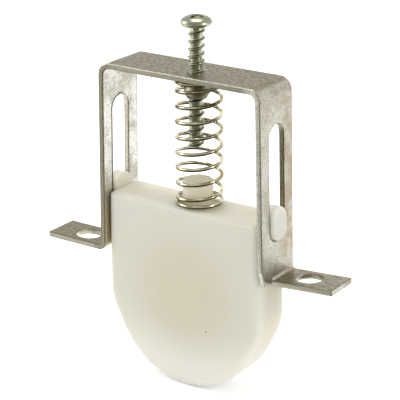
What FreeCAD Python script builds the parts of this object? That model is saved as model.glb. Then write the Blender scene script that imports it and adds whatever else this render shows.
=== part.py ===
"""Spring-loaded guide shoe for a sliding door.

A steel strap is bent into a bridge with two slotted legs and two narrow feet. A round-nosed
nylon shoe slides up and down between the legs, guided by an ear in each slot. A coil spring
between shoe and bridge pushes the shoe out, and a screw through the bridge limits how far the
shoe can be pushed back.

Frame: millimetres, +Z up towards the bridge, X from foot to foot, Y across the strap. The
origin is midway between the two foot holes, on the plane of the left foot's upper face. The
right foot is bent up a little from that plane.
"""

import FreeCAD, Part
import math
import os

# Strap, bent from flat stock
STRAP_WIDTH = 15.9
STRAP_THICKNESS = 1.5
BRIDGE_WIDTH = 52.9  # outside, at the bridge's top face
BRACKET_HEIGHT = 54.8  # from the feet's upper faces to the bridge's top face
LEG_SPLAY = 1.2  # degrees that each leg leans outwards on its way down
TOP_BEND_RADIUS = 2.1  # inside the bend
FOOT_BEND_RADIUS = 0.9  # inside the bend

# Feet: narrower than the strap, one flush with its front edge and one with its back edge
RIGHT_FOOT_LENGTH = 18.6  # from the leg's outer face to the tip
LEFT_FOOT_LENGTH = 19.4
RIGHT_FOOT_RISE = 4.1  # degrees that the right foot is bent up
FOOT_WIDTH = 10.9
FOOT_HOLE_RUN = 8.4  # from the leg's outer face to the hole's centre
FOOT_HOLE_EDGE = 5.1  # from the foot's flush edge to the hole's centre
FOOT_HOLE_WIDTH = 6.9
FOOT_HOLE_LENGTH = 8.0
LEG_SHOULDER = 3.7  # height above the foot where the leg starts to narrow
LEG_END_INSET = 1.3  # how much it has narrowed where it ends beside the foot
LEG_END_DROP = 0.5  # from the foot's upper face down to that end

# Guide slots in the legs
SLOT_WIDTH = 7.5
SLOT_BOTTOM = 10.7  # above the feet's upper faces
SLOT_TOP_MARGIN = 10.9  # below the bridge's top face

# Nozzle drawn out of the bridge for the screw
NOZZLE_WALL = 1.15
NOZZLE_DEPTH = 6.2  # below the bridge's underside
NOZZLE_LIP = 0.3  # wall left at the lower rim
NOZZLE_LIP_TAPER = 1.5  # height over which the wall thins out
NOZZLE_ENTRY = 0.45  # width of the slanted entry in the bridge's top face
NOZZLE_FLARE = 0.6  # width of the slanted root under the bridge

# Adjusting screw
SCREW_OFFSET = 1.15  # of its axis, and the nozzle's and boss's, to the right of the middle
THREAD_RADIUS = 2.415
THREAD_CLEARANCE = 0.05
HEAD_LIFT = 12.6  # head's underside above the bridge
TIP_GAP = 9.4  # screw's tip above the shoe's boss
TIP_CHAMFER = 0.7
HEAD_RADIUS = 4.33
HEAD_HEIGHT = 2.8
HEAD_EDGE_RADIUS = 1.5
RECESS_SPAN = 4.6
RECESS_WING = 1.15
RECESS_DEPTH = 1.7
RECESS_FLOOR = 1.6  # span of the cross at its floor

# Coil spring, right-handed, with closed ends
WIRE_DIAMETER = 1.05
SPRING_DIAMETER = 13.5  # outside
SPRING_TURNS = 9.86
END_TURNS = 0.9  # closed turns at each end
BLEND_TURNS = 0.5  # turns over which a closed end opens out
END_TURN_GAP = 0.06  # between the wires of a closed end
SPRING_START = 135.0  # degrees, where the lower end of the wire lies
SPRING_SEAT_GAP = 0.05
SPRING_SHIFT = 0.65  # of its axis to the right of the screw's, within its play
WIRE_FLATS = 8  # sides that stand for the wire's round
STEPS_PER_TURN = 24  # straight steps that stand for a turn of the wire

# Guide shoe
SHOE_THICKNESS = 13.4
SHOE_SIDE_GAP = 0.45  # from the shoe's sides to the legs, which they run along
SHOULDER_DROP = 15.6  # from the feet's upper faces to where the lines of side and flank meet
SHOULDER_RADIUS = 18.0  # between side and flank
FLANK_ANGLE = 25.8  # degrees from the vertical
FLANK_LENGTH = 5.4  # straight part of each flank, between the shoulder and the nose
SHOE_EDGE_RADIUS = 1.8
SHOE_TOP_CHAMFER = 0.6

# Ears of the shoe, one in each slot
EAR_GAP = 0.25  # to the slot, on each side
EAR_SEAT_GAP = 0.15  # to the slot's lower end
EAR_HEIGHT = 9.8
EAR_RISE = 4.35  # ear's top above the shoe's top
EAR_REACH = 1.0  # past the leg's outer face
EAR_ROOT = 0.6  # how far the ear starts inside the shoe's side
EAR_CHAMFER = 0.5

# Boss of the shoe, inside the spring
BOSS_PLAY = 1.42  # to the spring, all round
BOSS_HEIGHT = 7.2
BOSS_CHAMFER = 0.4

# Cutters reach this far past what they cut, and the boss this far into the shoe
OVERCUT = 2.0
# Edges nearer than this to a plane lie in it
IN_PLANE = 0.01

Z_AXIS = FreeCAD.Vector(0, 0, 1)


# Places that several pieces share


def leg_face_x(height, depth=0.0):
    """X of the right leg's outer face at a height, or of the plane at a depth behind it."""
    lean = math.radians(LEG_SPLAY)
    outer = BRIDGE_WIDTH / 2 + (BRACKET_HEIGHT - height) * math.tan(lean)
    return outer - depth / math.cos(lean)


def shoe_side_x(height):
    """X of the shoe's right side at a height."""
    return leg_face_x(height, STRAP_THICKNESS) - SHOE_SIDE_GAP


heel_x = leg_face_x(0)
past_feet_x = heel_x + max(RIGHT_FOOT_LENGTH, LEFT_FOOT_LENGTH) + OVERCUT
foot_front = STRAP_WIDTH / 2 - FOOT_WIDTH
foot_hole_y = STRAP_WIDTH / 2 - FOOT_HOLE_EDGE
bridge_underside = BRACKET_HEIGHT - STRAP_THICKNESS
slot_top = BRACKET_HEIGHT - SLOT_TOP_MARGIN

ear_bottom = SLOT_BOTTOM + EAR_SEAT_GAP
ear_top = ear_bottom + EAR_HEIGHT
shoe_top = ear_top - EAR_RISE
boss_top = shoe_top + BOSS_HEIGHT

bore_radius = THREAD_RADIUS + THREAD_CLEARANCE
nozzle_bottom = bridge_underside - NOZZLE_DEPTH
head_underside = BRACKET_HEIGHT + HEAD_LIFT
screw_tip = boss_top + TIP_GAP

closed_pitch = WIRE_DIAMETER + END_TURN_GAP
wire_bottom = shoe_top + SPRING_SEAT_GAP + WIRE_DIAMETER / 2
spring_rise = bridge_underside - shoe_top - 2 * SPRING_SEAT_GAP - WIRE_DIAMETER
added_pitch = (spring_rise - SPRING_TURNS * closed_pitch) / (
    SPRING_TURNS - 2 * END_TURNS - BLEND_TURNS
)
spring_radius = (SPRING_DIAMETER - WIRE_DIAMETER) / 2
spring_x = SCREW_OFFSET + SPRING_SHIFT
boss_radius = spring_radius - WIRE_DIAMETER / 2 - BOSS_PLAY


# Outlines in the XZ plane


def point(x, z):
    return FreeCAD.Vector(x, 0, z)


def corner_arc(before, corner, after, radius):
    """Arc that rounds a corner, as its first, middle and last points."""
    back = (before - corner).normalize()
    ahead = (after - corner).normalize()
    half_angle = back.getAngle(ahead) / 2
    run = radius / math.tan(half_angle)
    middle = (back + ahead).normalize() * (radius / math.sin(half_angle) - radius)
    return corner + back * run, corner + middle, corner + ahead * run


def rounded_face(corners):
    """Face with a closed outline. Each corner is (x, z) or (x, z, radius)."""
    count = len(corners)
    places = [point(corner[0], corner[1]) for corner in corners]
    stretches = []
    for i, corner in enumerate(corners):
        if len(corner) == 3:
            before, after = places[i - 1], places[(i + 1) % count]
            stretches.append(corner_arc(before, places[i], after, corner[2]))
        else:
            stretches.append((places[i],))
    edges = []
    for i, stretch in enumerate(stretches):
        if len(stretch) == 3:
            edges.append(Part.Arc(*stretch).toShape())
        following = stretches[(i + 1) % count][0]
        edges.append(Part.makeLine(stretch[-1], following))
    return Part.Face(Part.Wire(edges))


def plate(corners, width):
    """Outline drawn in the XZ plane, thickened equally to both sides of it."""
    face = rounded_face(corners)
    face.translate(FreeCAD.Vector(0, -width / 2, 0))
    return face.extrude(FreeCAD.Vector(0, width, 0))


def turned(corners):
    """Outline drawn right of the Z axis, turned about it and moved to the screw's axis."""
    shape = rounded_face(corners).revolve(FreeCAD.Vector(0, 0, 0), Z_AXIS, 360)
    return shape.translated(point(SCREW_OFFSET, 0))


def obround(length, width, depth):
    """Bar with round ends, centred on the origin: length along X, depth along Y, width along Z."""
    radius = width / 2
    bar = Part.makeBox(length - width, depth, width)
    bar.translate(FreeCAD.Vector(radius - length / 2, -depth / 2, -radius))
    ends = []
    for side in (-1, 1):
        centre = FreeCAD.Vector(side * (length / 2 - radius), -depth / 2, 0)
        ends.append(Part.makeCylinder(radius, depth, centre, FreeCAD.Vector(0, 1, 0)))
    return bar.fuse(ends).removeSplitter()


def half_turn(shape):
    """The shape's copy on the other side of the bracket, half a turn about Z away."""
    copy = shape.copy()
    copy.rotate(FreeCAD.Vector(0, 0, 0), Z_AXIS, 180)
    return copy


# Bracket


def strap_side(depth, foot_radius, top_radius, foot_length, foot_rise):
    """Right half of one face of the strap, from the foot's tip to the bridge."""
    rise, lean = math.radians(foot_rise), math.radians(LEG_SPLAY)
    tip_x = heel_x + foot_length * math.cos(rise) + depth * math.sin(rise)
    tip_z = foot_length * math.sin(rise) - depth * math.cos(rise)
    # The faces of foot and leg lie at the same depth, and meet off the square by rise and lean
    mitre = depth / math.cos(lean - rise)
    bend_x = heel_x - mitre * (math.cos(rise) - math.sin(lean))
    bend_z = -mitre * (math.cos(lean) + math.sin(rise))
    bridge_level = BRACKET_HEIGHT - depth
    top_corner = (leg_face_x(bridge_level, depth), bridge_level, top_radius)
    return [(tip_x, tip_z), (bend_x, bend_z, foot_radius), top_corner]


def mirrored(corners):
    return [(-corner[0],) + corner[1:] for corner in corners]


def strap_face(depth, foot_radius, top_radius):
    """One face of the strap, from the right foot's tip over the bridge to the left foot's."""
    right = strap_side(depth, foot_radius, top_radius, RIGHT_FOOT_LENGTH, RIGHT_FOOT_RISE)
    left = strap_side(depth, foot_radius, top_radius, LEFT_FOOT_LENGTH, 0)
    return right + mirrored(left)[::-1]


def bent_strap():
    """Strap of constant thickness through its four bends."""
    outside = strap_face(0, FOOT_BEND_RADIUS, TOP_BEND_RADIUS + STRAP_THICKNESS)
    inside = strap_face(STRAP_THICKNESS, FOOT_BEND_RADIUS + STRAP_THICKNESS, TOP_BEND_RADIUS)
    return plate(outside + inside[::-1], STRAP_WIDTH)


def beside_foot():
    """What is sheared off in front of the right foot, as far in as the leg's outer face."""
    top, bottom = LEG_SHOULDER, -STRAP_THICKNESS - OVERCUT
    outline = [
        point(leg_face_x(top), top),
        point(leg_face_x(bottom), bottom),
        point(past_feet_x, bottom),
        point(past_feet_x, top),
    ]
    face = Part.Face(Part.makePolygon(outline + outline[:1]))
    face.translate(FreeCAD.Vector(0, foot_front, 0))
    return face.extrude(FreeCAD.Vector(0, -STRAP_WIDTH, 0))


def below_leg():
    """What is sheared off the front of the right leg, which narrows and ends beside the foot."""
    front = -STRAP_WIDTH / 2
    below = -STRAP_THICKNESS - OVERCUT
    outline = [
        FreeCAD.Vector(0, front, LEG_SHOULDER),
        FreeCAD.Vector(0, front + LEG_END_INSET, -LEG_END_DROP),
        FreeCAD.Vector(0, foot_front, -LEG_END_DROP),
        FreeCAD.Vector(0, foot_front, below),
        FreeCAD.Vector(0, front - OVERCUT, below),
        FreeCAD.Vector(0, front - OVERCUT, LEG_SHOULDER),
    ]
    face = Part.Face(Part.makePolygon(outline + outline[:1]))
    return face.extrude(FreeCAD.Vector(past_feet_x, 0, 0))


def foot_hole(foot_rise):
    """Cutter for the short slot through the right foot, along it."""
    cutter = obround(FOOT_HOLE_LENGTH, FOOT_HOLE_WIDTH, STRAP_THICKNESS + 2 * OVERCUT)
    cutter.rotate(FreeCAD.Vector(0, 0, 0), FreeCAD.Vector(1, 0, 0), 90)
    cutter.translate(FreeCAD.Vector(heel_x + FOOT_HOLE_RUN, foot_hole_y, -STRAP_THICKNESS / 2))
    cutter.rotate(point(heel_x, 0), FreeCAD.Vector(0, 1, 0), -foot_rise)
    return cutter


def guide_slots():
    """Cutter for the slots of both legs."""
    cutter = obround(slot_top - SLOT_BOTTOM, SLOT_WIDTH, 2 * past_feet_x)
    cutter.rotate(FreeCAD.Vector(0, 0, 0), FreeCAD.Vector(0, 1, 0), 90)
    cutter.rotate(FreeCAD.Vector(0, 0, 0), Z_AXIS, 90)
    cutter.translate(FreeCAD.Vector(0, 0, (slot_top + SLOT_BOTTOM) / 2))
    return cutter


def nozzle_body():
    """Outside of the nozzle, with its root in the bridge and its lip tapering inwards."""
    outer = bore_radius + NOZZLE_WALL
    root = outer + NOZZLE_FLARE
    inside_bridge = bridge_underside + STRAP_THICKNESS / 2
    return turned(
        [
            (0, nozzle_bottom),
            (bore_radius + NOZZLE_LIP, nozzle_bottom),
            (outer, nozzle_bottom + NOZZLE_LIP_TAPER),
            (outer, bridge_underside - NOZZLE_FLARE),
            (root, bridge_underside),
            (root, inside_bridge),
            (0, inside_bridge),
        ]
    )


def nozzle_bore():
    """Cutter for the screw's hole, which widens into the entry at the bridge's top face."""
    entry_bottom = BRACKET_HEIGHT - NOZZLE_ENTRY
    above = BRACKET_HEIGHT + OVERCUT
    return turned(
        [
            (0, nozzle_bottom - OVERCUT),
            (bore_radius, nozzle_bottom - OVERCUT),
            (bore_radius, entry_bottom),
            (bore_radius + above - entry_bottom, above),
            (0, above),
        ]
    )


def bracket():
    sheared = [beside_foot(), below_leg()]
    sheared += [half_turn(shape) for shape in sheared]
    holes = [foot_hole(RIGHT_FOOT_RISE), half_turn(foot_hole(0))]
    strap = bent_strap().cut(sheared + holes + [guide_slots()])
    return strap.fuse(nozzle_body()).cut(nozzle_bore()).removeSplitter()


# Adjusting screw


def drive_recess():
    """Cross recess that narrows towards its floor, hanging down from the origin."""
    wings = []
    for angle in (0, 90):
        wing = Part.makeBox(RECESS_SPAN, RECESS_WING, RECESS_DEPTH)
        wing.translate(FreeCAD.Vector(-RECESS_SPAN / 2, -RECESS_WING / 2, -RECESS_DEPTH))
        wing.rotate(FreeCAD.Vector(0, 0, 0), Z_AXIS, angle)
        wings.append(wing)
    floor = point(0, -RECESS_DEPTH)
    funnel = Part.makeCone(RECESS_FLOOR / 2, RECESS_SPAN / 2, RECESS_DEPTH, floor, Z_AXIS)
    return wings[0].fuse(wings[1]).common(funnel)


def adjusting_screw():
    """Pan-head screw. Its shank is the thread's outer cylinder."""
    head_top = head_underside + HEAD_HEIGHT
    blank = turned(
        [
            (0, screw_tip),
            (THREAD_RADIUS - TIP_CHAMFER, screw_tip),
            (THREAD_RADIUS, screw_tip + TIP_CHAMFER),
            (THREAD_RADIUS, head_underside),
            (HEAD_RADIUS, head_underside),
            (HEAD_RADIUS, head_top, HEAD_EDGE_RADIUS),
            (0, head_top),
        ]
    )
    recess = drive_recess()
    recess.translate(point(SCREW_OFFSET, head_top))
    return blank.cut(recess)


# Spring


def wire_rise(turns):
    """Rise of the wire's centre line from its lower end, after a number of turns."""
    if turns > SPRING_TURNS / 2:
        return spring_rise - wire_rise(SPRING_TURNS - turns)
    past_end = max(turns - END_TURNS, 0)
    blend = min(past_end, BLEND_TURNS)
    # The pitch grows evenly over the blend, which so counts half
    open_turns = past_end - blend + blend**2 / (2 * BLEND_TURNS)
    return closed_pitch * turns + added_pitch * open_turns


def wire_section(turns):
    """Section of the wire after a number of turns: flats between corners on the wire's round."""
    around = FreeCAD.Rotation(Z_AXIS, SPRING_START + 360 * turns)
    outwards = around.multVec(FreeCAD.Vector(1, 0, 0))
    heading = around.multVec(FreeCAD.Vector(0, 1, 0))
    centre = outwards * spring_radius + point(spring_x, wire_bottom + wire_rise(turns))
    corners = []
    for i in range(WIRE_FLATS + 1):
        turn = FreeCAD.Rotation(heading, 360 * i / WIRE_FLATS)
        corners.append(centre + turn.multVec(outwards * (WIRE_DIAMETER / 2)))
    return Part.makePolygon(corners)


def spring():
    """Wire in short straight steps from section to section."""
    step_count = round(SPRING_TURNS * STEPS_PER_TURN)
    turns = [SPRING_TURNS * i / step_count for i in range(step_count + 1)]
    return Part.makeLoft([wire_section(turn) for turn in turns], True, True)


# Guide shoe


def shoe_outline():
    """Sides along the legs, flanks that close in, and a nose rounded between the flanks."""
    flank = math.radians(FLANK_ANGLE)
    shoulder_turn = math.radians(FLANK_ANGLE + LEG_SPLAY)
    shoulder_x = shoe_side_x(-SHOULDER_DROP)
    flank_length = SHOULDER_RADIUS * math.tan(shoulder_turn / 2) + FLANK_LENGTH
    nose_radius = (shoulder_x - flank_length * math.sin(flank)) / math.cos(flank)
    # The flanks run on to meet at the apex
    apex = -SHOULDER_DROP - shoulder_x / math.tan(flank)
    right = [(shoe_side_x(shoe_top), shoe_top), (shoulder_x, -SHOULDER_DROP, SHOULDER_RADIUS)]
    return right + [(0, apex, nose_radius)] + mirrored(right)[::-1]


def shoe_body():
    """Block with well rounded rims at its front and back, and a small chamfer round its top."""
    block = plate(shoe_outline(), SHOE_THICKNESS)
    top_plane = shoe_top - IN_PLANE
    outlines = [edge for edge in block.Edges if edge.BoundBox.YLength < IN_PLANE]
    rims = [edge for edge in outlines if edge.BoundBox.ZMin < top_plane]
    body = block.makeFillet(SHOE_EDGE_RADIUS, rims)
    top = [edge for edge in body.Edges if edge.BoundBox.ZMin > top_plane]
    return body.makeChamfer(SHOE_TOP_CHAMFER, top)


def ear():
    """Right ear, which stands across the shoe's top and reaches out through the slot."""
    centre = (ear_bottom + ear_top) / 2
    inner = shoe_side_x(shoe_top) - EAR_ROOT
    outer = leg_face_x(centre) + EAR_REACH
    bar = obround(EAR_HEIGHT, SLOT_WIDTH - 2 * EAR_GAP, outer - inner)
    bar.rotate(FreeCAD.Vector(0, 0, 0), FreeCAD.Vector(0, 1, 0), 90)
    bar.rotate(FreeCAD.Vector(0, 0, 0), Z_AXIS, 90)
    bar.translate(point((outer + inner) / 2, centre))
    end = [edge for edge in bar.Edges if edge.BoundBox.XMin > outer - IN_PLANE]
    return bar.makeChamfer(EAR_CHAMFER, end)


def boss():
    """Stub that keeps the spring in place and meets the screw's tip."""
    root = shoe_top - OVERCUT
    return turned(
        [
            (0, root),
            (boss_radius, root),
            (boss_radius, boss_top - BOSS_CHAMFER),
            (boss_radius - BOSS_CHAMFER, boss_top),
            (0, boss_top),
        ]
    )


def guide_shoe():
    right_ear = ear()
    return shoe_body().fuse([right_ear, half_turn(right_ear), boss()]).removeSplitter()


# Output


def main():
    os.makedirs("parts", exist_ok=True)
    pieces = {
        "bracket": bracket(),
        "guide_shoe": guide_shoe(),
        "spring": spring(),
        "adjusting_screw": adjusting_screw(),
    }
    for name, shape in pieces.items():
        solid = shape.Solids[0]
        print(name, len(shape.Solids), "solid,", round(solid.Volume, 1), "mm3", solid.isValid())
        solid.exportStep(f"parts/{name}.step")


main()
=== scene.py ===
"""Looks of a sliding door's spring-loaded guide shoe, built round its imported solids.

Lengths are in metres and angles in degrees, in the frame of the solids: Z runs up towards the
bridge, X from foot to foot and Y across the strap.
"""

import logging
import math
from collections.abc import Sequence
from dataclasses import dataclass, field
from enum import Enum

import bpy
import numpy as np
from mathutils import Matrix, Vector


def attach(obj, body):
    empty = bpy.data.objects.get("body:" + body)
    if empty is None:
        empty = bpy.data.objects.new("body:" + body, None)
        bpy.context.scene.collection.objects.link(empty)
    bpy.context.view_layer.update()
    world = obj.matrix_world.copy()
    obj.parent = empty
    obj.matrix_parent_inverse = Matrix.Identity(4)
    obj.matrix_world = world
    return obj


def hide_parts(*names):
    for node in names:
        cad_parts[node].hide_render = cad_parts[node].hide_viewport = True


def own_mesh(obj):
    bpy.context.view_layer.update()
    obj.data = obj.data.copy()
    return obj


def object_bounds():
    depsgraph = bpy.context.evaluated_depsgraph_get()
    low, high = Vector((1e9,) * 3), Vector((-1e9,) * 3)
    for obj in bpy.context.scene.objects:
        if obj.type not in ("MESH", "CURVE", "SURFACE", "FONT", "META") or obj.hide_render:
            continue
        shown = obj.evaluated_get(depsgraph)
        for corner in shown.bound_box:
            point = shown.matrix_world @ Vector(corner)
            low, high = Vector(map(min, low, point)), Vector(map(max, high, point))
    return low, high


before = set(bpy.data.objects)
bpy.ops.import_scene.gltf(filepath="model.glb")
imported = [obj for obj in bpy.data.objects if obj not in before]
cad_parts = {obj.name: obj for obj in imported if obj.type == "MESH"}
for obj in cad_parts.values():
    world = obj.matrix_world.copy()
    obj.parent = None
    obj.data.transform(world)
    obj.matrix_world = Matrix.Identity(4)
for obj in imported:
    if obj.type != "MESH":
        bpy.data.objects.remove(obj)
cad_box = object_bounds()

MM = 0.001
SCREW_X = 1.15 * MM
WELD_DISTANCE = 0.001 * MM
EDGE_SAMPLES = 8
MATT = 0.9
WHITE = (1.0, 1.0, 1.0)
RISING = (0.0, 1.0)
FALLING = (1.0, 0.0)

Colour = tuple[float, float, float]
Place = tuple[float, float, float]
Range = tuple[float, float]
Socket = bpy.types.NodeSocket
Term = float | Colour | Socket
log = logging.getLogger("guide_shoe")


# Meshes


def new_piece(
    name: str, points: Sequence[Sequence[float]], faces: Sequence[Sequence[int]]
) -> bpy.types.Object:
    """Puts points and faces into a new object.

    Args:
        name: The new object's name.
        points: Points as x, y, z.
        faces: Each face's points, by number.

    Returns:
        The new object, at the origin.
    """
    mesh = bpy.data.meshes.new(name)
    mesh.from_pydata(points, [], faces)
    piece = bpy.data.objects.new(name, mesh)
    bpy.context.scene.collection.objects.link(piece)
    return piece


def ring_faces(rows: int, columns: int) -> list[list[int]]:
    """Numbers the faces of a closed skin over rings of points, with a pole past each end.

    Ring i and ring i + 1 are joined by quads, and the last point of a ring by a quad to its
    first. Each end ring is closed by triangles to its pole. The two poles are numbered last.

    Args:
        rows: Number of rings.
        columns: Number of points in a ring.

    Returns:
        Each face's points, by number.
    """
    here = np.arange(columns)
    after = np.roll(here, -1)
    starts = np.arange(rows - 1)[:, None] * columns
    quads = np.stack(
        [starts + here, starts + after, starts + columns + after, starts + columns + here],
        axis=-1,
    ).reshape(-1, 4)
    last = (rows - 1) * columns
    pole = np.full(columns, rows * columns)
    first_cap = np.stack([after, here, pole], axis=-1)
    last_cap = np.stack([last + here, last + after, pole + 1], axis=-1)
    return quads.tolist() + first_cap.tolist() + last_cap.tolist()


def ring_skin(name: str, rings: np.ndarray, sharp_angle: float) -> bpy.types.Object:
    """Makes a closed, smooth skin over rings of points, with a pole at the mean of each end ring.

    Args:
        name: The new object's name.
        rings: Points as an array of rings, points in a ring and x, y, z.
        sharp_angle: Edges bent by more than this many degrees stay sharp.

    Returns:
        The new object, at the origin.
    """
    poles = np.array([rings[0].mean(axis=0), rings[-1].mean(axis=0)])
    points = np.concatenate([rings.reshape(-1, 3), poles])
    piece = new_piece(name, points.tolist(), ring_faces(*rings.shape[:2]))
    piece.data.shade_smooth()
    piece.data.set_sharp_from_angle(angle=math.radians(sharp_angle))
    piece.data.update()
    return piece


def ease(share: np.ndarray) -> np.ndarray:
    """Smooth step from 0 to 1: three times the square less twice the cube of the clipped share."""
    clipped = np.clip(share, 0.0, 1.0)
    return clipped * clipped * (3.0 - 2.0 * clipped)


# Steps of a finish


class Axis(Enum):
    """Axes of the solids' frame, by their place in a vector."""

    X = 0
    Y = 1
    Z = 2


class Sum(Enum):
    """Steps of arithmetic."""

    PRODUCT = "MULTIPLY"
    SIZE = "ABSOLUTE"
    LARGEST = "MAXIMUM"
    REST = "SUBTRACT"


@dataclass(frozen=True)
class Noise:
    """Soft noise: how large its spots are, its finer layers, their weight, and what shows of it."""

    feature: float
    detail: float
    roughness: float = 0.55
    shown: Range = RISING


@dataclass(frozen=True)
class Relief:
    """Relief below what is there already: its depth, and the share of it that shows."""

    depth: float
    strength: float


class Graph:
    """Node graph, and the steps that colours are worked out in."""

    def __init__(self, tree: bpy.types.NodeTree) -> None:
        """Takes up a tree.

        Args:
            tree: The tree that the steps are added to.
        """
        self.nodes = tree.nodes
        self.links = tree.links

    def feed(self, socket: Socket, term: Term) -> None:
        """Links an input to another step, or writes a number, a colour or a vector there.

        Args:
            socket: The input.
            term: What it gets.
        """
        if isinstance(term, Socket):
            self.links.new(term, socket)
        elif socket.type == "RGBA":
            socket.default_value = (*term, 1.0)
        else:
            socket.default_value = term

    def math(self, kind: Sum, first: float | Socket, second: float | Socket = 0.0) -> Socket:
        """Works out one step of arithmetic.

        Args:
            kind: What is done.
            first: The first number or socket.
            second: The second, where the step takes two.

        Returns:
            The result.
        """
        node = self.nodes.new("ShaderNodeMath")
        node.operation = kind.value
        for socket, term in zip(node.inputs, (first, second)):
            self.feed(socket, term)
        return node.outputs[0]

    def product(self, first: Socket, *others: float | Socket) -> Socket:
        """Multiplies shares.

        Args:
            first: The first share.
            *others: The others, in turn.

        Returns:
            Their product.
        """
        result = first
        for other in others:
            result = self.math(Sum.PRODUCT, result, other)
        return result

    def spread(self, value: Socket, shown: Range, onto: Range = RISING) -> Socket:
        """Maps a range of a value smoothly onto another.

        Args:
            value: The value.
            shown: The range of it that is mapped.
            onto: What the range's start and end become.

        Returns:
            The mapped value.
        """
        node = self.nodes.new("ShaderNodeMapRange")
        node.interpolation_type = "SMOOTHSTEP"
        for name, limit in zip(("From Min", "From Max", "To Min", "To Max"), (*shown, *onto)):
            node.inputs[name].default_value = limit
        self.links.new(value, node.inputs["Value"])
        return node.outputs["Result"]

    def colours(self, share: Socket, first: Colour | Socket, second: Colour | Socket) -> Socket:
        """Blends two colours by a share.

        Args:
            share: 0 for the first colour and 1 for the second.
            first: Colour at 0.
            second: Colour at 1.

        Returns:
            The blended colour.
        """
        node = self.nodes.new("ShaderNodeMix")
        node.data_type = "RGBA"
        inputs = {socket.identifier: socket for socket in node.inputs}
        outputs = {socket.identifier: socket for socket in node.outputs}
        self.feed(inputs["Factor_Float"], share)
        self.feed(inputs["A_Color"], first)
        self.feed(inputs["B_Color"], second)
        return outputs["Result_Color"]

    def dot(self, first: Socket, second: Place | Socket) -> Socket:
        """Multiplies two vectors.

        Args:
            first: The first vector.
            second: The second.

        Returns:
            The sum of the products of their parts.
        """
        node = self.nodes.new("ShaderNodeVectorMath")
        node.operation = "DOT_PRODUCT"
        self.feed(node.inputs[0], first)
        self.feed(node.inputs[1], second)
        return node.outputs["Value"]

    def length(self, vector: Socket) -> Socket:
        """Measures a vector.

        Args:
            vector: The vector.

        Returns:
            Its length.
        """
        node = self.nodes.new("ShaderNodeVectorMath")
        node.operation = "LENGTH"
        self.links.new(vector, node.inputs[0])
        return node.outputs["Value"]


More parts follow.
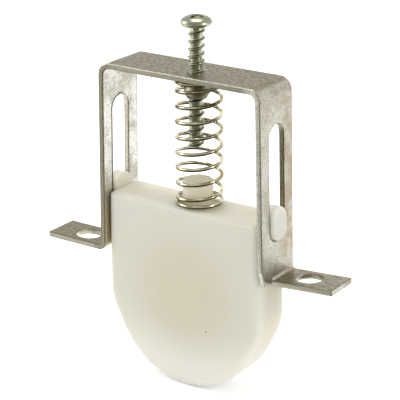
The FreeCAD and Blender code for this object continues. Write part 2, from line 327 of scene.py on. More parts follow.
class Recipe(Graph):
    """Node graph of one finish, read in the object's own coordinates."""

    def __init__(self, name: str) -> None:
        """Starts a graph that holds only the surface's shader.

        Args:
            name: The material's name.
        """
        self.material = bpy.data.materials.new(name)
        self.material.use_nodes = True
        super().__init__(self.material.node_tree)
        self.shader = self.nodes["Principled BSDF"]
        coordinates = self.nodes.new("ShaderNodeTexCoord")
        self.place = coordinates.outputs["Object"]
        self.normal = coordinates.outputs["Normal"]

    def set(self, **values: float | Colour) -> None:
        """Sets the shader's own sockets.

        Args:
            **values: Socket names, with underscores for spaces, and what they are set to.
        """
        for key, value in values.items():
            self.feed(self.shader.inputs[key.replace("_", " ")], value)

    def part(self, vector: Socket, axis: Axis) -> Socket:
        """Takes one coordinate of a vector.

        Args:
            vector: The vector.
            axis: Its axis.

        Returns:
            That coordinate.
        """
        node = self.nodes.new("ShaderNodeSeparateXYZ")
        self.links.new(vector, node.inputs[0])
        return node.outputs[axis.value]

    def at(self, axis: Axis) -> Socket:
        """Returns the place on an axis."""
        return self.part(self.place, axis)

    def tilt(self, axis: Axis) -> Socket:
        """Returns the surface normal's part on an axis, from -1 to 1."""
        return self.part(self.normal, axis)

    def facing(self, axis: Axis) -> Socket:
        """Returns how squarely a face looks along an axis to either side, from 0 to 1."""
        return self.math(Sum.SIZE, self.tilt(axis))

    def beside(self, axis: Axis) -> Socket:
        """Returns the distance to either side of the middle, along an axis."""
        return self.math(Sum.SIZE, self.at(axis))

    def scaled(self, location: Place, scale: Place) -> Socket:
        """Moves and scales the place.

        Args:
            location: What is added after scaling.
            scale: Factors on X, Y and Z.

        Returns:
            The new place.
        """
        node = self.nodes.new("ShaderNodeMapping")
        node.inputs["Location"].default_value = location
        node.inputs["Scale"].default_value = scale
        self.links.new(self.place, node.inputs["Vector"])
        return node.outputs["Vector"]

    def distance(self, centre: Place, reach: Place) -> Socket:
        """Measures how far a point lies from a centre.

        Args:
            centre: The centre.
            reach: Lengths on X, Y and Z that count as 1.

        Returns:
            The distance.
        """
        location = tuple(-c / r for c, r in zip(centre, reach))
        return self.length(self.scaled(location, tuple(1.0 / r for r in reach)))

    def noise(self, noise: Noise) -> Socket:
        """Adds soft noise.

        Args:
            noise: Its sizes.

        Returns:
            The noise's value, from 0 to 1.
        """
        node = self.nodes.new("ShaderNodeTexNoise")
        node.inputs["Scale"].default_value = 1.0
        node.inputs["Detail"].default_value = noise.detail
        node.inputs["Roughness"].default_value = noise.roughness
        place = self.scaled((0.0, 0.0, 0.0), (1.0 / noise.feature,) * 3)
        self.links.new(place, node.inputs["Vector"])
        return node.outputs["Fac"]

    def patches(self, noise: Noise) -> Socket:
        """Returns noise, with the range of it that shows mapped onto 0 to 1."""
        return self.spread(self.noise(noise), noise.shown)

    def edges(self, radius: float) -> Socket:
        """Rounds the shading at edges, and tells how much it is turned there.

        Args:
            radius: How far from an edge the rounding reaches.

        Returns:
            0 on flat faces, growing towards the edges.
        """
        rounded = self.nodes.new("ShaderNodeBevel")
        rounded.samples = EDGE_SAMPLES
        rounded.inputs["Radius"].default_value = radius
        normal = rounded.outputs["Normal"]
        self.links.new(normal, self.shader.inputs["Normal"])
        flat = self.nodes.new("ShaderNodeNewGeometry").outputs["Normal"]
        return self.math(Sum.REST, 1.0, self.dot(normal, flat))

    def bump(self, height: Socket, relief: Relief) -> None:
        """Adds relief to the shading that is there already.

        Args:
            height: Height from 0 to 1.
            relief: Its depth and strength.
        """
        node = self.nodes.new("ShaderNodeBump")
        node.inputs["Strength"].default_value = relief.strength
        node.inputs["Distance"].default_value = relief.depth
        self.links.new(height, node.inputs["Height"])
        normal = self.shader.inputs["Normal"]
        if normal.is_linked:
            self.links.new(normal.links[0].from_socket, node.inputs["Normal"])
        self.links.new(node.outputs["Normal"], normal)

    def colour(self, socket: Socket) -> None:
        """Links the shader's colour."""
        self.links.new(socket, self.shader.inputs["Base Color"])

    def roughness(self, socket: Socket) -> None:
        """Links the shader's roughness."""
        self.links.new(socket, self.shader.inputs["Roughness"])


# Finishes


@dataclass(frozen=True)
class StrapZinc:
    """Dull zinc on the rolled strap, speckled on its faces and darker where it was cut.

    Its colours also hold painted light and shade: lighter and darker copies of the zinc on the
    upright faces, cut faces and slot walls, painted shade on the faces that lie flat and on the
    nozzle, a painted reflection of the shoe and a painted highlight along the bridge's top edges.

    Colours come first, then the patterns and how much of each shows. The ranges after them say
    where one state turns into the next: places on the strap, tilts of its surface, or shares.
    """

    # Upright faces: painted light towards the left leg, painted shade towards the right.
    upright_lit: Colour = (0.86, 0.855, 0.79)
    upright_shaded: Colour = (0.61, 0.595, 0.52)
    cloudy: Colour = (0.42, 0.385, 0.30)
    speck: Colour = (0.17, 0.15, 0.10)
    # Faces that lie flat: painted shade, lighter towards the right foot's end, with darker spots.
    lying_shade: Colour = (0.285, 0.255, 0.168)
    lying_shade_dark: Colour = (0.135, 0.115, 0.068)
    lying_shade_right: Colour = (0.40, 0.37, 0.27)
    # Painted shade on the nozzle.
    nozzle_shade: Colour = (0.24, 0.22, 0.15)
    stain: Colour = (0.42, 0.34, 0.25)
    # Painted reflection of the shoe, warm and light, low on the left leg's inner face.
    shoe_reflection: Colour = (0.95, 0.85, 0.62)
    sheared: Colour = (0.40, 0.385, 0.295)
    # Cut faces: painted shade on the left foot, painted light on the right leg and foot.
    sheared_left_shade: Colour = (0.30, 0.275, 0.205)
    sheared_right_lit: Colour = (0.78, 0.75, 0.65)
    sheared_foot_lit: Colour = (0.60, 0.57, 0.46)
    # Slot walls: painted light in the left leg's slot, painted shade in the right leg's.
    wall_left_lit: Colour = (0.70, 0.68, 0.58)
    wall_right_shade: Colour = (0.27, 0.24, 0.155)
    corner: Colour = (0.045, 0.032, 0.012)
    # Painted highlight along the bridge's top edges.
    crest: Colour = (0.90, 0.87, 0.74)

    cloud: Noise = Noise(7.0 * MM, 4.0, shown=(0.40, 0.66))
    cloud_share: float = 0.75
    spots: Noise = Noise(1.0 * MM, 5.0, 0.65, (0.42, 0.62))
    spot_share: float = 0.8
    spot_relief: Relief = Relief(0.02 * MM, 0.5)
    specks: Noise = Noise(0.55 * MM, 4.0, 0.7, (0.54, 0.66))
    speck_share: float = 0.75
    grain: Noise = Noise(0.30 * MM, 3.0, 0.65, (0.32, 0.62))
    grain_share: Range = (0.55, 0.0)
    grain_relief: Relief = Relief(0.04 * MM, 0.7)
    gloss: Range = (0.32, 0.46)

    bridge: Range = (-20.0 * MM, 20.0 * MM)
    left_leg: Range = (-24.0 * MM, -20.0 * MM)
    left_foot: Range = (-31.0 * MM, -29.0 * MM)
    right_leg: Range = (20.0 * MM, 24.0 * MM)
    right_foot: Range = (29.0 * MM, 31.0 * MM)
    right_foot_length: Range = (30.0 * MM, 44.0 * MM)
    lying_shade_tilt: Range = (0.66, 0.95)
    cut_tilt: Range = (0.86, 0.99)

    # Centre and reach of the painted shade on the nozzle.
    nozzle: Place = (SCREW_X, 0.0, 50.0 * MM)
    nozzle_reach: Place = (6.5 * MM, 6.5 * MM, 4.0 * MM)
    nozzle_rim: Range = (0.85, 1.15)

    stain_side: Range = (1.0 * MM, 6.0 * MM)
    stain_cloud: Range = (0.0, 0.7)
    stain_share: Range = (0.2, 0.9)

    reflection_height: Range = (8.5 * MM, 17.0 * MM)
    reflection_share: Range = (0.9, 0.0)
    inner_tilt: Range = (0.6, 0.95)

    slot_wall: Range = (3.75 * MM, 5.5 * MM)
    slot_foot: Range = (4.0 * MM, 7.0 * MM)
    slot_low: float = 14.45 * MM
    slot_high: float = 40.15 * MM
    rim_distance: Range = (4.20 * MM, 4.50 * MM)
    rim_side: Range = (-0.5 * MM, 2.5 * MM)
    rim_share: Range = (0.95, 0.0)

    edge_reach: float = 0.70 * MM
    edge_turn: Range = (0.02, 0.14)
    edge_spots: Range = (1.0, 0.65)
    edge_right: Range = (1.0, 0.6)
    # Heights at the bridge's top where the edges get the painted highlight.
    highlight_height: Range = (53.6 * MM, 54.1 * MM)

    def material(self) -> bpy.types.Material:
        """Lays the strap's patterns, stains, cut faces, painted light and shade and darkened
        edges over each other.

        Returns:
            The finish as a material.
        """
        recipe = Recipe("strap_zinc")
        recipe.set(Metallic=1.0)
        cloud = recipe.patches(self.cloud)
        spots = recipe.patches(self.spots)
        specks = recipe.patches(self.specks)
        grain = recipe.noise(self.grain)
        face = self.rolled(recipe, cloud, spots)
        face = recipe.colours(recipe.product(specks, self.speck_share), face, self.speck)
        face = recipe.colours(self.stained(recipe, cloud), face, self.stain)
        # Painted reflection of the shoe on the left leg.
        face = recipe.colours(self.beside_shoe(recipe), face, self.shoe_reflection)
        face = recipe.colours(self.slot_rim(recipe), face, self.corner)
        cut = self.cut(recipe, specks)
        face = recipe.colours(recipe.spread(recipe.facing(Axis.Y), self.cut_tilt), face, cut)
        face = self.edged(recipe, spots, face)
        dust = recipe.spread(grain, self.grain.shown, self.grain_share)
        recipe.colour(recipe.colours(dust, face, self.speck))
        recipe.roughness(recipe.spread(spots, RISING, self.gloss))
        recipe.bump(grain, self.grain_relief)
        recipe.bump(spots, self.spot_relief)
        return recipe.material

    def on_left(self, recipe: Recipe) -> Socket:
        """Returns 1 on the left leg and foot, and 0 elsewhere."""
        return recipe.spread(recipe.at(Axis.X), self.left_leg, FALLING)

    def on_right(self, recipe: Recipe) -> Socket:
        """Returns 1 on the right leg and foot, and 0 elsewhere."""
        return recipe.spread(recipe.at(Axis.X), self.right_leg)

    def rolled(self, recipe: Recipe, cloud: Socket, spots: Socket) -> Socket:
        """Colours the rolled faces: the upright ones, lighter on the left and darker on the
        right by painted light and shade, and the ones that lie flat and the nozzle, in painted shade.

        Args:
            recipe: The finish's graph.
            cloud: The large patches.
            spots: The small patches.

        Returns:
            The colour.
        """
        along = recipe.at(Axis.X)
        # Painted light on the left leg's upright faces, painted shade on the right leg's.
        upright = recipe.colours(recipe.spread(along, self.bridge), self.upright_lit, self.upright_shaded)
        upright = recipe.colours(recipe.product(cloud, self.cloud_share), upright, self.cloudy)
        right = recipe.spread(along, self.right_foot_length)
        lying_shade = recipe.colours(right, self.lying_shade, self.lying_shade_right)
        lying_shade = recipe.colours(recipe.product(spots, self.spot_share), lying_shade, self.lying_shade_dark)
        # 1 on faces that look up or down, which take the painted shade.
        lies = recipe.spread(recipe.facing(Axis.Z), self.lying_shade_tilt)
        face = recipe.colours(lies, upright, lying_shade)
        # Painted shade round the nozzle.
        from_nozzle = recipe.distance(self.nozzle, self.nozzle_reach)
        near_nozzle = recipe.spread(from_nozzle, self.nozzle_rim, FALLING)
        return recipe.colours(near_nozzle, face, self.nozzle_shade)

    def stained(self, recipe: Recipe, cloud: Socket) -> Socket:
        """Finds the stains down the far side of the right leg.

        Args:
            recipe: The finish's graph.
            cloud: The large patches.

        Returns:
            1 in a stain and 0 beside it.
        """
        patches = recipe.spread(cloud, self.stain_cloud, self.stain_share)
        far_side = recipe.spread(recipe.at(Axis.Y), self.stain_side)
        return recipe.product(patches, far_side, self.on_right(recipe))

    def beside_shoe(self, recipe: Recipe) -> Socket:
        """Finds the left leg's inner face low down, which gets a painted reflection of the shoe.

        Args:
            recipe: The finish's graph.

        Returns:
            A share that grows downwards on that face, and 0 elsewhere.
        """
        low = recipe.spread(recipe.at(Axis.Z), self.reflection_height, self.reflection_share)
        inner = recipe.spread(recipe.tilt(Axis.X), self.inner_tilt)
        return recipe.product(low, self.on_left(recipe), inner)

    def slot_rim(self, recipe: Recipe) -> Socket:
        """Finds the near rim of the left leg's slot, which gets a thin dark line.

        The distance is the one to the slot's middle line: the root of the squares of the place
        on Y and of the height beyond the line's ends.

        Args:
            recipe: The finish's graph.

        Returns:
            A share that is large on the rim, falling to 0 beside it.
        """
        height = recipe.at(Axis.Z)
        above = recipe.math(Sum.REST, height, self.slot_high)
        below = recipe.math(Sum.REST, self.slot_low, height)
        beyond = recipe.math(Sum.LARGEST, recipe.math(Sum.LARGEST, above, below), 0.0)
        behind = recipe.at(Axis.Y)
        legs = recipe.nodes.new("ShaderNodeCombineXYZ")
        recipe.feed(legs.inputs["X"], behind)
        recipe.feed(legs.inputs["Y"], beyond)
        distance = recipe.length(legs.outputs["Vector"])
        near = recipe.spread(distance, self.rim_distance, FALLING)
        side = recipe.spread(behind, self.rim_side, self.rim_share)
        return recipe.product(side, self.on_left(recipe), near)

    def cut(self, recipe: Recipe, specks: Socket) -> Socket:
        """Colours the cut faces: the strap's long edges and the walls of its slots. Their tones
        on the left and right legs and on the right foot are painted light and shade.

        Args:
            recipe: The finish's graph.
            specks: The smallest patches.

        Returns:
            The colour.
        """
        along = recipe.at(Axis.X)
        right = self.on_right(recipe)
        left = recipe.product(self.on_left(recipe), recipe.spread(along, self.left_foot))
        # Painted shade on the left foot's cut faces, painted light on the right leg's and foot's.
        strip = recipe.colours(left, self.sheared, self.sheared_left_shade)
        strip = recipe.colours(right, strip, self.sheared_right_lit)
        strip = recipe.colours(recipe.spread(along, self.right_foot), strip, self.sheared_foot_lit)
        # Painted light on the left slot's walls, painted shade on the right's, with dark specks.
        wall = recipe.colours(right, self.wall_left_lit, self.wall_right_shade)
        wall = recipe.colours(recipe.product(specks, right), wall, self.corner)
        outside = recipe.spread(recipe.beside(Axis.Y), self.slot_wall)
        below = recipe.spread(recipe.at(Axis.Z), self.slot_foot, FALLING)
        return recipe.colours(recipe.math(Sum.LARGEST, outside, below), wall, strip)

    def edged(self, recipe: Recipe, spots: Socket, face: Socket) -> Socket:
        """Darkens the strap's edges, and paints a highlight along the ones at the bridge's top.

        Args:
            recipe: The finish's graph.
            spots: The small patches.
            face: The colour so far.

        Returns:
            The colour with its edges.
        """
        broken = recipe.spread(recipe.edges(self.edge_reach), self.edge_turn)
        highlit_top = recipe.spread(recipe.at(Axis.Z), self.highlight_height)
        darkened_edge = recipe.product(
            broken,
            recipe.spread(spots, RISING, self.edge_spots),
            recipe.spread(self.on_right(recipe), RISING, self.edge_right),
            recipe.math(Sum.REST, 1.0, highlit_top),
        )
        face = recipe.colours(darkened_edge, face, self.corner)
        # Painted highlight along the bridge's top edges.
        return recipe.colours(recipe.product(broken, highlit_top), face, self.crest)


@dataclass(frozen=True)
class ShoeNylon:
    """Natural nylon: milky and see-through at its rims, warm in its middle, with painted light that
    makes it paler towards its rims, nose, top and edges and on its boss.
    """

    core: Colour = (0.645, 0.60, 0.475)
    # Painted light: rims, nose and top paler than the core.
    rim: Colour = (0.68, 0.665, 0.575)
    nose: Colour = (0.82, 0.80, 0.72)
    top: Colour = (0.80, 0.765, 0.64)
    # Painted light along the edges.
    edge: Colour = (0.86, 0.85, 0.78)
    ear: Colour = (0.60, 0.595, 0.53)
    ear_inner: Colour = (0.76, 0.735, 0.64)
    # Painted light on the boss, lifting the shade that the spring and screw cast on it.
    boss: Colour = (0.86, 0.80, 0.63)
    speck: Colour = (0.12, 0.09, 0.05)

    gloss: float = 0.5
    refraction: float = 1.45
    milk: float = 0.8
    glow: float = 4.0 * MM
    glow_colour: Colour = (1.0, 0.9, 0.75)
    grain: Noise = Noise(0.5 * MM, 2.0)
    grain_relief: Relief = Relief(0.012 * MM, 0.5)

    # Reach of the painted light towards the rims and the nose.
    centre: Place = (1.0 * MM, 0.0, -9.0 * MM)
    reach: Place = (25.5 * MM, 1.0, 25.5 * MM)
    core_rim: Range = (0.25, 0.95)
    skin: Range = (1.675 * MM, 6.7 * MM)
    nose_height: Range = (-36.0 * MM, -14.0 * MM)
    painted_top_tilt: Range = (0.7, 0.98)
    deck: Range = (16.35 * MM, 16.6 * MM)
    boss_side: Range = (10.0 * MM, 15.0 * MM)
    ear_side: Range = (25.6 * MM, 26.4 * MM)
    speck_place: Place = (8.15 * MM, -6.7 * MM, -19.0 * MM)
    speck_reach: Place = (0.28 * MM, 0.28 * MM, 0.28 * MM)
    speck_rim: Range = (0.6, 1.2)
    speck_share: Range = (0.8, 0.0)
    # Reach of the painted light along the edges.
    edge_reach: float = 1.6 * MM
    edge_turn: Range = (0.0, 0.25)
    edge_share: Range = (0.0, 0.6)

    def material(self) -> bpy.types.Material:
        """Lays the block's tones and painted light, the ears and boss, a speck and painted light
        along the edges over each other.

        Returns:
            The finish as a material.
        """
        recipe = Recipe("shoe_nylon")
        recipe.set(
            Roughness=self.gloss,
            IOR=self.refraction,
            Subsurface_Weight=self.milk,
            Subsurface_Scale=self.glow,
            Subsurface_Radius=self.glow_colour,
        )
        face = self.raised(recipe, self.block(recipe))
        from_speck = recipe.distance(self.speck_place, self.speck_reach)
        dot = recipe.spread(from_speck, self.speck_rim, self.speck_share)
        face = recipe.colours(dot, face, self.speck)
        # Painted light along the edges.
        lit = recipe.spread(recipe.edges(self.edge_reach), self.edge_turn, self.edge_share)
        recipe.colour(recipe.colours(lit, face, self.edge))
        recipe.bump(recipe.noise(self.grain), self.grain_relief)
        return recipe.material

    def block(self, recipe: Recipe) -> Socket:
        """Colours the block: warm in the middle, with painted light that makes it paler towards its
        rims, its nose and its top.

        Args:
            recipe: The finish's graph.

        Returns:
            The colour.
        """
        outer = recipe.spread(recipe.distance(self.centre, self.reach), self.core_rim)
        near = recipe.spread(recipe.beside(Axis.Y), self.skin)
        face = recipe.colours(recipe.product(outer, near), self.core, self.rim)
        low = recipe.spread(recipe.at(Axis.Z), self.nose_height, FALLING)
        face = recipe.colours(recipe.product(low, outer), face, self.nose)
        # Painted light on faces that look up.
        return recipe.colours(recipe.spread(recipe.tilt(Axis.Z), self.painted_top_tilt), face, self.top)

    def raised(self, recipe: Recipe, face: Socket) -> Socket:
        """Colours the boss and the ears, which stand above the deck or out at the sides. The
        boss gets painted light.

        Args:
            recipe: The finish's graph.
            face: The block's colour.

        Returns:
            The colour with boss and ears.
        """
        beside = recipe.beside(Axis.X)
        # Painted light on the boss.
        risen = recipe.colours(recipe.spread(beside, self.boss_side), self.boss, self.ear_inner)
        face = recipe.colours(recipe.spread(recipe.at(Axis.Z), self.deck), face, risen)
        return recipe.colours(recipe.spread(beside, self.ear_side), face, self.ear)


@dataclass(frozen=True)
class SpringWire:
    """Drawn spring wire under a thin yellowish passivated zinc, with painted shade underneath."""

    bright: Colour = (0.86, 0.80, 0.58)
    tarnish: Colour = (0.40, 0.33, 0.155)
    # Painted shade on the wire's underside.
    under: Colour = (0.06, 0.048, 0.02)
    patches: Noise = Noise(3.0 * MM, 3.0, shown=(0.4, 0.65))
    underside_shade_tilt: Range = (-0.15, 0.45)
    gloss: Range = (0.10, 0.18)

    def material(self) -> bpy.types.Material:
        """Lays patches of tarnish over the wire, and paints shade on its underside.

        Returns:
            The finish as a material.
        """
        recipe = Recipe("spring_wire")
        recipe.set(Metallic=1.0)
        patches = recipe.patches(self.patches)
        above = recipe.spread(recipe.tilt(Axis.Z), self.underside_shade_tilt)
        wire = recipe.colours(patches, self.bright, self.tarnish)
        # Painted shade on faces that look down.
        recipe.colour(recipe.colours(above, self.under, wire))
        recipe.roughness(recipe.spread(patches, RISING, self.gloss))
        return recipe.material


@dataclass(frozen=True)
class ScrewZinc:
    """Bright zinc with a greenish passivation, with painted shade on what faces up."""

    bright: Colour = (0.54, 0.55, 0.425)
    dull: Colour = (0.33, 0.34, 0.24)
    # Painted shade on faces that look up.
    top: Colour = (0.27, 0.275, 0.20)
    patches: Noise = Noise(1.1 * MM, 4.0, 0.6, (0.34, 0.62))
    painted_top_tilt: Range = (0.35, 0.85)
    gloss: Range = (0.15, 0.30)
    grain: Noise = Noise(0.3 * MM, 3.0)
    grain_relief: Relief = Relief(0.008 * MM, 0.5)

    def material(self) -> bpy.types.Material:
        """Lays dull patches over the plating, and paints shade on what faces up.

        Returns:
            The finish as a material.
        """
        recipe = Recipe("screw_zinc")
        recipe.set(Metallic=1.0)
        patches = recipe.patches(self.patches)
        plating = recipe.colours(patches, self.bright, self.dull)
        above = recipe.spread(recipe.tilt(Axis.Z), self.painted_top_tilt)
        # Painted shade on faces that look up.
        recipe.colour(recipe.colours(above, plating, self.top))
        recipe.roughness(recipe.spread(patches, RISING, self.gloss))
        recipe.bump(recipe.noise(self.grain), self.grain_relief)
        return recipe.material


def dress(piece: bpy.types.Object, material: bpy.types.Material) -> None:
    """Gives a piece one material.

    Args:
        piece: The piece to dress.
        material: Its new and only material.
    """
    piece.data.materials.clear()
    piece.data.materials.append(material)


# Sub-assemblies


def weld(piece: bpy.types.Object) -> None:
    """Joins a solid's loose triangles where their corners meet."""
    modifier = piece.modifiers.new("weld", "WELD")
    modifier.merge_threshold = WELD_DISTANCE


@dataclass
class Bracket:
    """The bent strap with its nozzle, as the solid gives it, with rounded edges."""

    edge: float = 0.16 * MM
    edge_segments: int = 3
    edge_angle: float = 40.0
    flat_angle: float = 0.5
    node: str = "bracket"
    finish: StrapZinc = field(default_factory=StrapZinc)

    def build(self) -> list[bpy.types.Object]:
        """Rounds the solid's edges and dresses it.

        Returns:
            The bracket's pieces.
        """
        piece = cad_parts[self.node]
        weld(piece)
        flat = piece.modifiers.new("flat", "DECIMATE")
        flat.decimate_type = "DISSOLVE"
        flat.angle_limit = math.radians(self.flat_angle)
        rounding = piece.modifiers.new("edges", "BEVEL")
        rounding.width = self.edge
        rounding.segments = self.edge_segments
        rounding.limit_method = "ANGLE"
        rounding.angle_limit = math.radians(self.edge_angle)
        dress(piece, self.finish.material())
        return [piece]


@dataclass
class GuideShoe:
    """The nylon shoe with its ears and boss."""

    node: str = "guide_shoe"
    finish: ShoeNylon = field(default_factory=ShoeNylon)

    def build(self) -> list[bpy.types.Object]:
        """Dresses the solid.

        Returns:
            The shoe's pieces.
        """
        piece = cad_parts[self.node]
        weld(piece)
        dress(piece, self.finish.material())
        return [piece]


@dataclass
class Spring:
    """Coil spring of round wire, right-handed, with closed ends."""

    wire_diameter: float = 1.05 * MM
    diameter: float = 13.5 * MM
    turns: float = 9.86
    end_turns: float = 0.9
    blend_turns: float = 0.5
    end_turn_gap: float = 0.06 * MM
    start: float = 135.0
    axis_x: float = 1.80 * MM
    bottom: float = 16.35 * MM
    top: float = 53.25 * MM
    shoe_travel: float = 9.2 * MM
    steps_per_turn: int = 64
    sides: int = 16
    sharp_angle: float = 50.0
    finish: SpringWire = field(default_factory=SpringWire)

    def rise(self, turn: np.ndarray) -> np.ndarray:
        """Gives the wire's rise above its lower end.

        The closed ends rise by a wire and a gap in each turn, the middle faster, and the pitch
        grows evenly over the blend between them. The upper half mirrors the lower.

        Args:
            turn: Turns from the wire's lower end.

        Returns:
            Rise of the wire's centre line.
        """
        closed = self.wire_diameter + self.end_turn_gap
        whole = self.top - self.bottom - self.wire_diameter
        open_turns = self.turns - 2 * self.end_turns - self.blend_turns
        added = (whole - self.turns * closed) / open_turns
        folded = np.minimum(turn, self.turns - turn)
        past = np.maximum(folded - self.end_turns, 0.0)
        part = np.minimum(past, self.blend_turns)
        lower = closed * folded + added * (past - part + part**2 / (2 * self.blend_turns))
        return np.where(turn > self.turns / 2, whole - lower, lower)

    def rings(self) -> np.ndarray:
        """Carries the wire's round along its coil.

        A point of the centre line lies at the coil's radius, at the start angle plus 360 degrees
        a turn, and at the rise of its turn. The section stands across it: its points lie at the
        wire's radius, outwards, down, inwards and up in turn.

        Returns:
            Points as an array of rings, points in a ring and x, y, z.
        """
        radius = (self.diameter - self.wire_diameter) / 2
        turn = np.linspace(0.0, self.turns, round(self.turns * self.steps_per_turn) + 1)
        angle = np.radians(self.start + 360.0 * turn)
        outwards = np.stack([np.cos(angle), np.sin(angle), np.zeros_like(angle)], axis=-1)
        centre = outwards * radius + np.array([self.axis_x, 0.0, 0.0])
        centre[:, 2] = self.bottom + self.wire_diameter / 2 + self.rise(turn)
        heading = np.gradient(centre, axis=0)
        heading /= np.linalg.norm(heading, axis=1, keepdims=True)
        across = np.cross(heading, outwards)
        around = np.linspace(0.0, 2 * np.pi, self.sides, endpoint=False)
        section = (
            np.cos(around)[None, :, None] * outwards[:, None, :]
            + np.sin(around)[None, :, None] * across[:, None, :]
        )
        return centre[:, None, :] + section * (self.wire_diameter / 2)

    def build(self) -> list[bpy.types.Object]:
        """Winds the wire, dresses it and attaches it to the bracket's body.

        Returns:
            The spring's pieces.
        """
        piece = ring_skin("spring_coil", self.rings(), self.sharp_angle)
        dress(piece, self.finish.material())
        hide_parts("spring")
        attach(piece, "bracket")
        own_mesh(piece)
        return [piece]


@dataclass
class AdjustingScrew:
    """Tapping screw with a coarse thread, a pan head and a cross recess.

    The thread's flank runs from thread_foot to thread_foot less thread_flank, as shares of half
    a pitch from its crest. The numbers of rings are those of the head's outline, part by part.
    """

    crest_radius: float = 2.415 * MM
    root_radius: float = 1.80 * MM
    pitch: float = 2.117 * MM
    thread_foot: float = 0.46
    thread_flank: float = 0.42
    axis_x: float = SCREW_X
    lean: float = 1.0
    tip: float = 32.9 * MM
    tip_chamfer: float = 0.7 * MM
    neck: float = 0.35 * MM
    head_underside: float = 67.1 * MM
    head_radius: float = 4.33 * MM
    head_height: float = 2.9 * MM
    head_flat: float = 0.9 * MM
    head_side: float = 0.95 * MM
    head_under_edge: float = 1.2 * MM
    head_middle: float = 0.02 * MM
    recess_span: float = 5.2 * MM
    recess_wing: float = 1.25 * MM
    recess_depth: float = 1.8 * MM
    recess_floor: float = 3.2 * MM
    recess_wall: float = 0.12 * MM
    recess_inset: float = 0.08 * MM
    columns: int = 192
    rows_per_pitch: int = 24
    underside_rings: int = 6
    side_rings: int = 16
    dome_rings: int = 60
    flat_rings: int = 40
    sharp_angle: float = 40.0
    finish: ScrewZinc = field(default_factory=ScrewZinc)

    def shank(self, angle: np.ndarray) -> np.ndarray:
        """Gives the threaded shank's rings.

        The radius is the root's, plus the thread's height times a peaked profile of the height
        above a helix that climbs one pitch a turn. It stays inside the tip's chamfer.

        Args:
            angle: Angles of a ring's points, in radians.

        Returns:
            The rings, from the tip up.
        """
        length = self.head_underside - self.tip
        rows = round(length / self.pitch * self.rows_per_pitch)
        height = np.linspace(self.tip, self.head_underside, rows + 1)[:, None]
        share = np.mod((height - self.tip) / self.pitch - angle[None, :] / (2 * np.pi), 1.0)
        distance = np.abs(share - 0.5) * 2.0
        crest = ease((self.thread_foot - distance) / self.thread_flank)
        radius = self.root_radius + (self.crest_radius - self.root_radius) * crest
        chamfer = self.crest_radius - self.tip_chamfer + (height - self.tip)
        radius = np.minimum(radius, chamfer)
        return np.stack(
            [radius * np.cos(angle), radius * np.sin(angle), np.broadcast_to(height, radius.shape)],
            axis=-1,
        )

    def head_outline(self) -> tuple[np.ndarray, np.ndarray]:
        """Gives the head's outline, outwards along its underside and back over its top.

        It is a flat underside, a short side that turns up by a quarter of an ellipse, a dome of
        another quarter, and a flat middle.

        Returns:
            The outline's radii and its heights.
        """
        top = self.head_underside + self.head_height
        under_radius = self.head_radius - self.head_under_edge
        under = np.linspace(self.root_radius + self.neck, under_radius, self.underside_rings)
        lower = np.linspace(0.0, np.pi / 2, self.side_rings)[1:]
        side = under_radius + self.head_under_edge * np.sin(lower)
        side_height = self.head_underside + self.head_side * (1 - np.cos(lower))
        turn = np.linspace(0.0, np.pi / 2, self.dome_rings)[1:]
        dome = self.head_flat + (self.head_radius - self.head_flat) * np.cos(turn)
        dome_height = top - (self.head_height - self.head_side) * (1 - np.sin(turn))
        flat = np.linspace(self.head_flat, self.head_middle, self.flat_rings)[1:]
        level = np.full(under.size, self.head_underside)
        heights = [level, side_height, dome_height, np.full(flat.size, top)]
        return np.concatenate([under, side, dome, flat]), np.concatenate(heights)

    def recess(self, x: np.ndarray, y: np.ndarray, radius: np.ndarray) -> np.ndarray:
        """Gives how deep the cross recess sinks the head's top.

        It is a cone, cut off at the recess's depth, inside two wings at right angles: the
        smaller of a point's distances from the two middle lines tells whether it is in a wing.

        Args:
            x: Places on X.
            y: Places on Y.
            radius: Distances from the screw's axis.

        Returns:
            The depths.
        """
        wing = np.minimum(np.abs(x), np.abs(y))
        wall = 1.0 - ease((wing - self.recess_wing / 2 + self.recess_inset) / self.recess_wall)
        slope = (self.recess_span / 2 - radius) / (self.recess_span / 2 - self.recess_floor / 2)
        return self.recess_depth * np.clip(slope, 0.0, 1.0) * wall

    def head(self, angle: np.ndarray) -> np.ndarray:
        """Turns the head's outline round the axis, and sinks its top by the recess.

        Args:
            angle: Angles of a ring's points, in radians.

        Returns:
            The rings, outwards along the underside and back over the top.
        """
        radii, heights = self.head_outline()
        x = radii[:, None] * np.cos(angle)
        y = radii[:, None] * np.sin(angle)
        radius = radii[:, None] * np.ones_like(angle)
        first_over = self.underside_rings + self.side_rings - 1
        over = np.arange(radii.size)[:, None] >= first_over
        z = heights[:, None] - np.where(over, self.recess(x, y, radius), 0.0)
        return np.stack([x, y, z], axis=-1)

    def build(self) -> list[bpy.types.Object]:
        """Joins shank and head into one skin, which leans about the head's underside.

        Returns:
            The screw's pieces.
        """
        angle = np.linspace(0.0, 2 * np.pi, self.columns, endpoint=False)
        rings = np.concatenate([self.shank(angle), self.head(angle)])
        slant = math.tan(math.radians(self.lean))
        rings[..., 0] += self.axis_x + slant * (rings[..., 2] - self.head_underside)
        piece = ring_skin("threaded_screw", rings, self.sharp_angle)
        dress(piece, self.finish.material())
        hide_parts("adjusting_screw")
        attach(piece, "adjusting_screw")
        return [piece]


# Studio


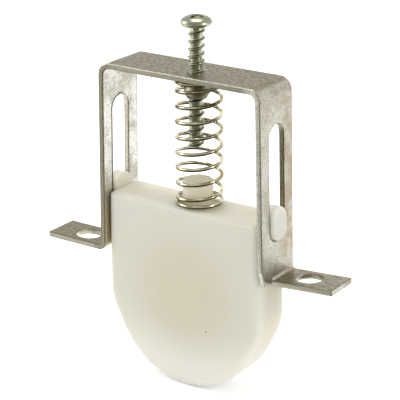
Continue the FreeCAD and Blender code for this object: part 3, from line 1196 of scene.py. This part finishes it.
@dataclass
class Camera:
    """Camera at the photographed angle, for a square picture."""

    azimuth: float = 34.728
    elevation: float = 20.336
    roll: float = -0.528
    distance: float = 430.0 * MM
    target: Place = (1.866 * MM, 0.0, 17.351 * MM)
    lens: float = 138.57
    sensor: float = 36.0
    nearest: float = 0.01
    furthest: float = 20.0

    def build(self) -> None:
        """Places the camera at its distance behind the target, turned by its roll."""
        azimuth, elevation, roll = (math.radians(a) for a in (self.azimuth, self.elevation, self.roll))
        back = Vector(
            (
                math.sin(azimuth) * math.cos(elevation),
                -math.cos(azimuth) * math.cos(elevation),
                math.sin(elevation),
            )
        )
        level = Vector((math.cos(azimuth), math.sin(azimuth), 0.0))
        raised = back.cross(level)
        right = level * math.cos(roll) + raised * math.sin(roll)
        up = raised * math.cos(roll) - level * math.sin(roll)
        data = bpy.data.cameras.new("camera")
        data.lens = self.lens
        data.sensor_width = self.sensor
        data.clip_start = self.nearest
        data.clip_end = self.furthest
        camera = bpy.data.objects.new("camera", data)
        turn = Matrix((right, up, back)).transposed().to_4x4()
        camera.matrix_world = Matrix.Translation(Vector(self.target) + back * self.distance) @ turn
        bpy.context.scene.collection.objects.link(camera)
        bpy.context.scene.camera = camera


@dataclass(frozen=True)
class Lamp:
    """Square soft lamp that faces the object: its place, its side and its power in watts."""

    name: str
    place: Place
    size: float
    power: float
    aim: Place = (0.0, 0.0, 15.0 * MM)

    def build(self) -> None:
        """Hangs the lamp."""
        data = bpy.data.lights.new(self.name, "AREA")
        data.size = self.size
        data.energy = self.power
        lamp = bpy.data.objects.new(self.name, data)
        lamp.location = self.place
        lamp.rotation_euler = (Vector(self.place) - Vector(self.aim)).to_track_quat("Z", "Y").to_euler()
        bpy.context.scene.collection.objects.link(lamp)


@dataclass(frozen=True)
class Card:
    """Dark card on the floor: its reach before the object, its half width and its height."""

    near: float = 0.05
    far: float = 0.80
    half: float = 0.30
    lift: float = 2.0 * MM
    colour: Colour = (0.10, 0.10, 0.08)

    def build(self, backdrop: Vector, floor_level: float) -> None:
        """Lays the card, which only gloss sees, to draw the metal's lower edges.

        Args:
            backdrop: Heading from the object to the backdrop.
            floor_level: Height of the floor.
        """
        across = Vector((-backdrop.y, backdrop.x, 0.0))
        level = Vector((0.0, 0.0, floor_level + self.lift))
        reaches = [(self.near, -1), (self.far, -1), (self.far, 1), (self.near, 1)]
        points = [level - backdrop * out + across * (self.half * side) for out, side in reaches]
        card = new_piece("card", points, [(0, 1, 2, 3)])
        card.visible_camera = False
        card.visible_diffuse = False
        card.visible_shadow = False
        recipe = Recipe("card_black")
        recipe.set(Base_Color=self.colour, Roughness=MATT)
        dress(card, recipe.material)


@dataclass
class Studio:
    """Pale floor, soft lamps and an even surrounding light."""

    floor_level: float
    floor_size: float = 6.0
    floor_colour: Colour = (0.86, 0.86, 0.86)
    floor_glow: float = 0.30
    room: Colour = (0.80, 0.80, 0.80)
    dim: Colour = (0.50, 0.50, 0.46)
    backdrop_heading: Place = (-0.57, 0.82, 0.0)
    backdrop_side: Range = (-0.60, 0.05)
    card: Card = field(default_factory=Card)
    lamps: tuple[Lamp, ...] = (
        Lamp("left", (-0.70, -0.25, 0.40), 0.40, 2.0),
        Lamp("right", (0.80, 0.05, 0.35), 0.40, 2.0),
        Lamp("top", (-0.05, 0.10, 0.80), 0.50, 3.0),
    )

    def floor(self) -> None:
        """Lays the floor, which looks white to the camera but keeps the object's shadow."""
        half = self.floor_size / 2
        corners = [(-half, -half), (half, -half), (half, half), (-half, half)]
        floor = new_piece("floor", [(x, y, self.floor_level) for x, y in corners], [(0, 1, 2, 3)])
        recipe = Recipe("floor_paper")
        recipe.set(Base_Color=self.floor_colour, Roughness=MATT)
        path = recipe.nodes.new("ShaderNodeLightPath")
        seen = recipe.math(Sum.LARGEST, path.outputs["Is Camera Ray"], path.outputs["Is Glossy Ray"])
        glow = recipe.nodes.new("ShaderNodeEmission")
        recipe.links.new(recipe.product(seen, self.floor_glow), glow.inputs["Strength"])
        total = recipe.nodes.new("ShaderNodeAddShader")
        recipe.links.new(recipe.shader.outputs[0], total.inputs[0])
        recipe.links.new(glow.outputs[0], total.inputs[1])
        recipe.links.new(total.outputs[0], recipe.nodes["Material Output"].inputs["Surface"])
        dress(floor, recipe.material)

    def world(self) -> None:
        """Surrounds the object with plain light, and its metal with a backdrop and a grey room."""
        world = bpy.data.worlds.new("surround")
        world.use_nodes = True
        graph = Graph(world.node_tree)
        path = graph.nodes.new("ShaderNodeLightPath").outputs
        heading = graph.nodes.new("ShaderNodeTexCoord").outputs["Generated"]
        ahead = graph.dot(heading, self.backdrop_heading)
        shown = graph.colours(graph.spread(ahead, self.backdrop_side), self.dim, WHITE)
        colour = graph.colours(path["Is Glossy Ray"], self.room, shown)
        colour = graph.colours(path["Is Transmission Ray"], colour, WHITE)
        colour = graph.colours(path["Is Camera Ray"], colour, WHITE)
        graph.links.new(colour, graph.nodes["Background"].inputs["Color"])
        bpy.context.scene.world = world

    def build(self) -> None:
        """Sets up floor, card, surround and lamps."""
        self.floor()
        self.card.build(Vector(self.backdrop_heading), self.floor_level)
        self.world()
        for lamp in self.lamps:
            lamp.build()


def main() -> None:
    """Builds the object's pieces in order, then the studio."""
    logging.basicConfig(level=logging.INFO, format="%(name)s: %(message)s")
    for assembly in (Bracket(), GuideShoe(), Spring(), AdjustingScrew()):
        for piece in assembly.build():
            log.info("%s: %s", type(assembly).__name__, piece.name)
    Studio(floor_level=cad_box[0].z).build()
    Camera().build()
    bpy.context.scene.view_settings.view_transform = "Standard"


if __name__ == "__main__":
    main()
